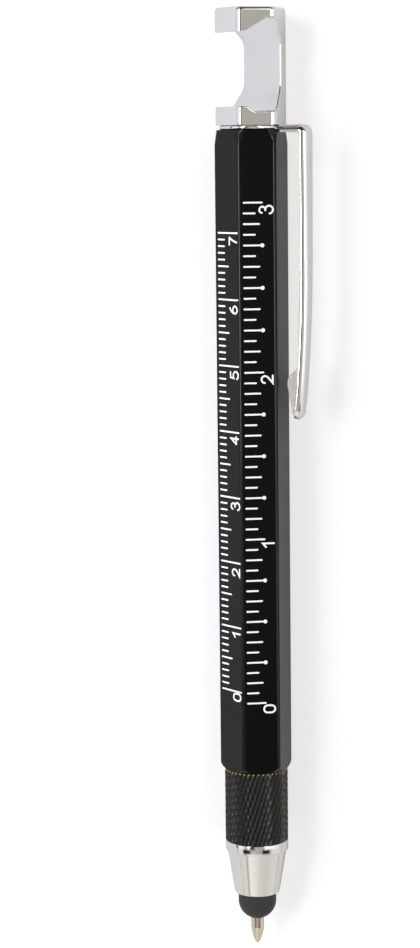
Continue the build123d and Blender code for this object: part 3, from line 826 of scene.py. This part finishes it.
@dataclass(frozen=True)
class Grip:
    """Brass sleeve with a diamond knurl, one of its two grooves cut deeper than the other."""

    teeth: int = 40  # diamonds round the sleeve
    pitch: float = 2.12  # length of a diamond along it
    depth: float = 0.25  # height of a tooth
    saddle: float = 0.13  # height at which a tooth runs into the next one of its ridge
    shoulder: float = 0.18  # height of the step in a tooth's flanks
    waist: Point = (0.7, 0.4)  # share of a diamond inside that step, along its ridge and across
    land: Point = (0.45, 0.16)  # share of it that the flat top takes
    edge_round: float = 0.1  # rounding of both ends
    join: float = 0.01  # distance within which points of neighbouring teeth are one
    spare_rows: int = 2  # rows of teeth that are cut off again
    end_steps: int = 4  # runs that the rounding of the ends is divided into

    def tooth(self, width: float) -> Obj:
        """One tooth, laid flat: x round the sleeve, z along it, y outwards."""
        deselect()
        bpy.ops.mesh.primitive_plane_add(size=1, rotation=(math.radians(90), 0, 0))
        obj = bpy.context.object
        obj.name = "grip"
        bpy.ops.object.transform_apply()
        pick_edges(obj, lambda a, b: abs(a.x - b.x) < MERGE)
        bpy.ops.mesh.subdivide(number_cuts=1)
        pick_faces(obj, lambda middle: True)
        (long, wide), (land_long, land_wide) = self.waist, self.land
        for rise, shrink in (
            (self.shoulder, (long, 1, wide)),
            (self.depth - self.shoulder, (land_long / long, 1, land_wide / wide)),
        ):
            bpy.ops.mesh.extrude_region_move(TRANSFORM_OT_translate={"value": (0, -rise, 0)})
            bpy.ops.transform.resize(value=shrink)
        pick_faces(obj, lambda middle: abs(middle.y) < MERGE)
        bpy.ops.mesh.delete(type="ONLY_FACE")
        deselect()
        for vertex in obj.data.vertices:
            if abs(vertex.co.y) < MERGE and abs(vertex.co.z) < MERGE:
                vertex.co.y = -self.saddle
        lean = Matrix(((width / 2, 0, -width / 2), (0, 1, 0), (self.pitch / 2, 0, self.pitch / 2)))
        obj.data.transform(lean.to_4x4())
        return obj

    def build(self, palette: Palette) -> None:
        """Cut the knurl, wrap it round the sleeve and turn its ends."""
        low, high = AXIS.stations("grip_sleeve")
        radius = half_width("grip_sleeve")
        width = math.tau / self.teeth
        rows = math.ceil((high - low) / self.pitch) + self.spare_rows
        sheet = self.tooth(width)
        for count, step in (
            (2, (width / 2, 0, self.pitch / 2)), (self.teeth, (width, 0, 0)), (rows, (0, 0, self.pitch))
        ):
            modifier(
                sheet, "ARRAY", count=count, use_relative_offset=False, use_constant_offset=True,
                constant_offset_displace=step,
            )
        for vertex in sheet.data.vertices:
            angle, reach = vertex.co.x, radius - self.depth - vertex.co.y
            vertex.co.x, vertex.co.y = reach * math.cos(angle), reach * math.sin(angle)
            vertex.co.z += low - self.pitch
        self.close(sheet, (low + high) / 2)
        bore = half_width("front_tube")
        ends = [(radius, low, self.edge_round), (radius, high, self.edge_round)]
        blank = turned("blank", rounded([(bore, low, 0), *ends, (bore, high, 0)], self.end_steps))
        combine(sheet, blank, Cut.KEEP_COMMON)
        merge_points(sheet)
        palette.dress(sheet, "grip", "black_brass", "grip_sleeve")

    def close(self, obj: Obj, middle: float) -> None:
        """Join the teeth and fill the two open ends, which lie beyond where they are cut off."""
        edit(obj, action="SELECT")
        bpy.ops.mesh.remove_doubles(threshold=self.join)
        for side in (-1, 1):
            edit(obj, "EDGE")
            bpy.ops.mesh.select_non_manifold(
                extend=False, use_wire=False, use_multi_face=False, use_non_contiguous=False, use_verts=False
            )
            keep_edges(obj, lambda a, b, chosen: chosen and side * (a.z - middle) > 0)
            bpy.ops.mesh.edge_face_add()
        merge_points(obj)


def bowed(start: Point, end: Point, radius: float, steps: int) -> list[Point]:
    """Points of the arc from one place to another, bulging to the right of its run."""
    run = (end[0] - start[0], end[1] - start[1])
    chord = math.hypot(*run)
    drop = math.sqrt(radius**2 - chord**2 / 4)
    x = (start[0] + end[0]) / 2 - drop * run[1] / chord
    y = (start[1] + end[1]) / 2 + drop * run[0] / chord
    first, last = (math.degrees(math.atan2(place[1] - y, place[0] - x)) for place in (start, end))
    return arc((x, y), radius, first, last, steps)


@dataclass(frozen=True)
class Nose:
    """Turned nose with its band, the rubber dome, and the point with its ball."""

    band_length: float = 1.6  # length of the band at the grip
    band_radius: float = 4.9  # its radius
    band_crown: float = 0.02  # how far its middle stands out
    band_round: float = 0.16  # rounding of the band's lower edge
    band_top_round: float = 0.112  # rounding of its edge at the grip
    cone_top: float = 4.62  # radius of the cone under the band
    cone_foot: float = 3.46  # radius of its end
    foot_round: float = 0.32  # rounding of that end
    dome_radius: float = 2.95  # radius of the rubber
    dome_stem: float = 2.5  # radius of its stem in the nose
    hole: float = 1.11  # radius of its hole for the point
    lip: tuple[Point, ...] = ((0.02, 0.08), (0.06, 0.02))  # the hole's edge, outwards and up
    point_radius: float = 1.03  # radius of the point
    point_taper: float = 7.9  # radius of the curve along its tapering part
    point_neck: float = 0.46  # radius of the point where it holds the ball
    point_cylinder: float = 1.54  # how much of the point's straight part shows
    point_rim: Point = (0.1, 0.05)  # length and thickness of the rim that is rolled over the ball
    ink_hole: Point = (0.25, 0.34)  # radius of the ink's hole to the ball, and its depth there
    ball_play: float = 0.01  # gap round the ball
    tube_wall: float = 0.21  # thickness of the ink tube's wall
    dome_steps: int = 14  # runs that the dome's arc is divided into
    taper_steps: int = 10  # runs of the point's tapering part

    def cone(self, palette: Palette) -> None:
        """The band and cone."""
        low, high = AXIS.stations("nose_cone")
        band = high - self.band_length
        stem_top = AXIS.stations("stylus_tip")[1]
        guide = half_width("point_guide")
        tube = half_width("front_tube")
        shoulder = AXIS.stations("front_tube")[0]
        edge, middle = self.band_radius - self.band_crown, (band + high) / 2
        corners = [
            (self.dome_stem, low, 0), (self.cone_foot, low, self.foot_round), (self.cone_top, band, 0),
            (edge, band, self.band_round), (self.band_radius, middle, 0), (edge, high, self.band_top_round),
            (tube, high, 0), (tube, shoulder, 0), (guide, shoulder, 0), (guide, stem_top, 0),
            (self.dome_stem, stem_top, 0),
        ]
        cone = turned("nose", rounded(corners), NOSE_STEPS)
        palette.dress(cone, "grip", "chrome_nose", "nose_cone")

    def dome(self, palette: Palette) -> None:
        """The rubber dome."""
        low, high = AXIS.stations("stylus_tip")
        step = AXIS.stations("nose_cone")[0]
        guide_low = AXIS.stations("point_guide")[0]
        guide = half_width("point_guide")
        rise = math.sqrt(self.dome_radius**2 - self.hole**2)
        start = -math.degrees(math.atan2(rise, self.hole))
        crown = arc((0, low + rise), self.dome_radius, start, 0, self.dome_steps)
        lip = [(self.hole + out, low + up) for out, up in self.lip]
        inner = [
            (self.dome_radius, step), (self.dome_stem, step), (self.dome_stem, high), (guide, high),
            (guide, guide_low), (self.hole, guide_low),
        ]
        dome = turned("stylus_dome", [*lip, *crown[1:], *inner])
        palette.dress(dome, "grip", "stylus_rubber", "stylus_tip")

    def point(self, palette: Palette) -> None:
        """The refill's point, rolled over at its ball, and the ball."""
        low, high = AXIS.stations("refill_point")
        shoulder = AXIS.stations("refill_tube")[0]
        dome_end = AXIS.stations("stylus_tip")[0]
        cone_start = dome_end - self.point_cylinder
        tube = half_width("refill_tube") - self.tube_wall
        ball = AXIS.stations("writing_ball")
        radius = (ball[1] - ball[0]) / 2
        rim_length, rim_wall = self.point_rim
        hole, hole_depth = self.ink_hole
        neck = (self.point_neck, low + rim_length)
        taper = bowed(neck, (self.point_radius, cone_start), self.point_taper, self.taper_steps)
        seat = [(hole, radius + hole_depth), (radius + self.ball_play, radius)]
        seat.append((self.point_neck - rim_wall, low))
        back = [(self.point_radius, shoulder), (tube, shoulder), (tube, high), (hole, high)]
        point = turned("point", [*seat, *taper, *back], POINT_STEPS)
        palette.dress(point, "refill", "point_metal", "refill_point")
        deselect()
        middle = (0, 0, radius)
        bpy.ops.mesh.primitive_uv_sphere_add(segments=40, ring_count=24, radius=radius, location=middle)
        sphere = bpy.context.object
        sphere.name = "ball"
        bpy.ops.object.transform_apply()
        palette.dress(sphere, "refill", "ball_metal", "writing_ball")

    def build(self, palette: Palette) -> None:
        """Build nose, dome, point and ball."""
        self.cone(palette)
        self.dome(palette)
        self.point(palette)


# Studio


# The room as polished metal shows it: degrees right of overhead, round the pen's axis, and colours
OVERHEAD = (
    (-90, "#2E2A28"), (-85, "#2E2A28"), (-79, "#F0F0F4"), (-58, "#F0F0F4"), (-56, "#B8B2A8"),
    (-46, "#B8B2A8"), (-44, "#F4F2EE"), (-37, "#F4F2EE"), (-33, "#50483C"), (-22, "#50483C"),
    (-15, "#AEAAA0"), (16, "#AAA69C"), (22, "#FFFFFF"), (48, "#FFFFFF"), (72, "#E0DFD8"),
    (90, "#CFCDC9"),
)
AT_NOSE = (
    (-90, "#C8C8C8"), (-86, "#BFBFC0"), (-73, "#E4E0DE"), (-64, "#D0CCCA"), (-60, "#1A1817"),
    (-37, "#1A1817"), (-30, "#BAB7B8"), (4, "#A29E96"), (9, "#A29E96"), (12, "#161513"),
    (35, "#19181B"), (42, "#B6B4BC"), (51, "#DBDADF"), (70, "#DBDADF"), (90, "#CBCBCD"),
)
BEYOND_NOSE = (
    (-88, "#C9CBC3"), (-72, "#D6D2CD"), (-62, "#DCD7CF"), (-57, "#B8B2A8"), (-51, "#B8B2A8"),
    (-44, "#EDEBE7"), (-23, "#E4E3DC"), (0, "#D3D1CA"), (32, "#C9C5C0"), (68, "#D3D2CC"),
    (84, "#D3D2CC"), (97, "#C4C3BF"), (120, "#D2D2D2"),
)
BEYOND_HEAD = ((-90, "#8A8478"), (-40, "#2E2820"), (30, "#3A342C"), (90, "#C4C2BC"))
# The room towards the pen's ends, and the leans between which each part of it takes over
ZONES = ((AT_NOSE, -0.2, -0.26), (BEYOND_NOSE, -0.36, -0.44), (BEYOND_HEAD, 0.3, 0.5))


@dataclass(frozen=True)
class Lamp:
    """A soft box that faces the pen."""

    name: str
    place: Triple  # where it stands, in metres
    size: tuple[float, float]  # its width and height, in metres
    power: float  # its power in watts
    code: str = "#FFFFFF"  # its colour
    mirrored: bool = True  # whether polished metal shows it

    def build(self, target: Vector) -> None:
        """Hang the soft box and turn it to the target."""
        deselect()
        bpy.ops.object.light_add(type="AREA", location=self.place)
        lamp = bpy.context.object
        lamp.name = self.name
        lamp.data.shape = "RECTANGLE"
        lamp.data.size, lamp.data.size_y = self.size
        lamp.data.energy = self.power
        lamp.data.color = colour(self.code)[:3]
        lamp.visible_glossy = self.mirrored
        lamp.rotation_mode = "QUATERNION"
        lamp.rotation_quaternion = (Vector(self.place) - target).to_track_quat("Z", "Y")


@dataclass(frozen=True)
class Studio:
    """Pale floor, soft light and the photograph's camera."""

    eye: Triple = (-0.059421, 0.046222, 0.3645)  # the camera's place, in metres
    right: Triple = (0.989186, -0.010841, 0.146255)  # its right-hand direction
    down: Triple = (-0.030222, -0.990923, 0.130961)  # its downward direction
    ahead: Triple = (0.143498, -0.133969, -0.980542)  # the direction that it looks in
    lens: float = 91.14  # its focal length in millimetres on a 36 mm sensor
    floor_code: str = "#BCBCBC"  # the floor's colour
    glow: float = 0.57  # light that the floor adds for the camera
    floor_shown: str = "#EEEEEE"  # the floor's colour in reflections, without that light
    room: float = 1.47  # strength of the room as reflections show it
    room_light: float = 0.8  # strength of the light that it throws

    def camera(self) -> None:
        """Stand the camera where the photograph was taken from."""
        deselect()
        bpy.ops.object.camera_add(location=self.eye)
        camera = bpy.context.object
        camera.name = "camera"
        camera.data.sensor_width = 36
        camera.data.lens = self.lens
        camera.data.clip_start = 0.01
        camera.data.clip_end = 20
        axes = (Vector(self.right), -Vector(self.down), -Vector(self.ahead))
        camera.rotation_mode = "QUATERNION"
        camera.rotation_quaternion = Matrix(axes).transposed().to_quaternion()
        bpy.context.scene.camera = camera

    def floor(self) -> None:
        """Lay the floor."""
        deselect()
        low = CAD_BOX[0].z
        bpy.ops.mesh.primitive_plane_add(size=4, location=(0, 0, low))
        floor = bpy.context.object
        floor.name = "floor"
        material = blank_material("white paper")
        tree = material.node_tree
        rays = add_node(tree, "LightPath", {}, {}).outputs
        settings = {"data_type": "RGBA", 6: colour(self.floor_code), 7: colour(self.floor_shown)}
        shade = add_node(tree, "Mix", settings, {0: rays["Is Glossy Ray"]}).outputs[2]
        paper = add_node(tree, "BsdfPrincipled", {"Roughness": 0.9}, {"Base Color": shade})
        strength = reckon(tree, "MULTIPLY", rays["Is Camera Ray"], self.glow)
        glow = add_node(tree, "Emission", {"Color": colour("#FFFFFF")}, {"Strength": strength})
        both = add_node(tree, "AddShader", {}, {0: paper.outputs[0], 1: glow.outputs[0]})
        add_node(tree, "OutputMaterial", {}, {"Surface": both.outputs[0]})
        floor.data.materials.append(material)

    def world(self) -> None:
        """Light the room, by the direction round the pen's axis and by the lean towards its ends."""
        world = bpy.data.worlds.new("room")
        bpy.context.scene.world = world
        world.use_nodes = True
        tree = world.node_tree
        tree.nodes.clear()
        where = add_node(tree, "TexCoord", {}, {}).outputs["Generated"]
        parts = add_node(tree, "SeparateXYZ", {}, {0: where}).outputs
        around = between(tree, reckon(tree, "ARCTAN2", parts[0], parts[2]), -math.pi, math.pi)
        room = self.ramp(tree, around, OVERHEAD)
        for stops, near, far in ZONES:
            links = {0: between(tree, parts[1], near, far), 6: room, 7: self.ramp(tree, around, stops)}
            room = add_node(tree, "Mix", {"data_type": "RGBA"}, links).outputs[2]
        rays = add_node(tree, "LightPath", {}, {}).outputs
        shown = add_node(tree, "Background", {"Strength": self.room}, {"Color": room})
        thrown = add_node(tree, "Background", {"Strength": self.room_light}, {"Color": room})
        white = add_node(tree, "Background", {"Color": colour("#FFFFFF"), "Strength": 1.0}, {})
        inside = {0: rays["Is Glossy Ray"], 1: thrown.outputs[0], 2: shown.outputs[0]}
        lit = add_node(tree, "MixShader", {}, inside)
        seen = {0: rays["Is Camera Ray"], 1: lit.outputs[0], 2: white.outputs[0]}
        mixed = add_node(tree, "MixShader", {}, seen)
        add_node(tree, "OutputWorld", {}, {"Surface": mixed.outputs[0]})

    def ramp(self, tree: Tree, value: Socket, stops: Sequence[tuple[float, str]]) -> Socket:
        """A colour ramp over a value from 0 to 1, its stops placed in degrees right of overhead."""
        node = add_node(tree, "ValToRGB", {}, {0: value})
        elements = node.color_ramp.elements
        while len(elements) < len(stops):
            elements.new(0.5)
        for element, (place, code) in zip(elements, stops, strict=True):
            element.position = place / 360 + 0.5
            element.color = colour(code)
        return node.outputs[0]

    def build(self) -> None:
        """Set up camera, floor, world and lamps."""
        self.camera()
        self.floor()
        self.world()
        target = Vector((0, 0, CAD_BOX[1].z / 2))
        for lamp in (
            Lamp("key", (-0.594, 0.15, 0.371), (0.5, 0.5), 4.6, "#F6F8FF", mirrored=False),
            Lamp("edge", (-0.448, 0.15, 0.565), (0.5, 0.1), 1.6, "#F6F8FF"),
            Lamp("strip", (0.3, 0.15, 0.63), (0.5, 0.1), 1.1, "#FFFDFA"),
        ):
            lamp.build(target)
        bpy.context.scene.view_settings.view_transform = "Standard"


def main() -> None:
    """Build the studio and every piece of the pen."""
    logging.basicConfig(level=logging.INFO, format="%(message)s")
    Studio().build()
    palette = Palette()
    palette.paint_nodes()
    for part in (Barrel(), Clip(), Grip(), Nose()):
        part.build(palette)
        log.info("built the %s", type(part).__name__.lower())
    deselect()


if __name__ == "__main__":
    main()
